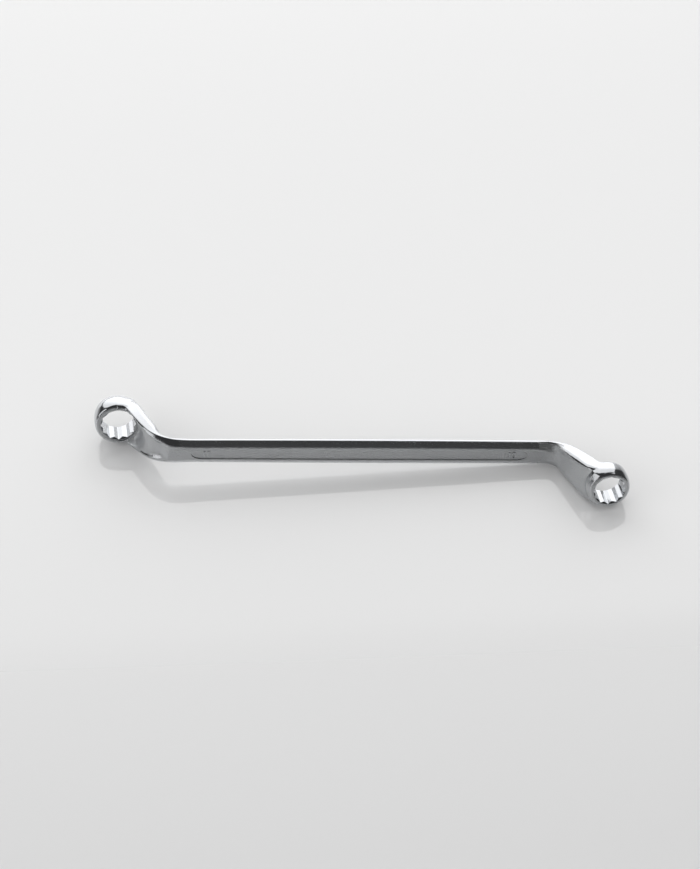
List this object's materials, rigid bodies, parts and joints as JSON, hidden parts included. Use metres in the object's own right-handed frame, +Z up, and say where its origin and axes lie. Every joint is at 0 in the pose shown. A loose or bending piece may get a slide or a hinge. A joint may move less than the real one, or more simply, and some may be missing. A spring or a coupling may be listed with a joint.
{
  "type": "ring spanner",
  "caption": "Double-ended ring spanner with deep offset 12-point rings, one plated steel forging, lying on its side.",
  "frame": {"origin": "on the table, under the middle of the tool's box", "axes": "+X along the shank towards the 10 mm ring, +Z up from the table, -Y the way the 10 mm ring opens; the tool lies on its side, rolled 13.1 degrees, as in the picture"},
  "size_m": [0.189, 0.0494, 0.0177],
  "materials": {
    "satin_chrome": "chromium plate over a bead-blasted steel forging, satin",
    "polished_chrome": "chromium plate over belt-polished steel, bright"
  },
  "bodies": {
    "root": {"shank": "satin_chrome", "small_neck": "satin_chrome", "large_neck": "satin_chrome", "small_ring": "polished_chrome", "large_ring": "polished_chrome"}
  },
  "joints": []
}
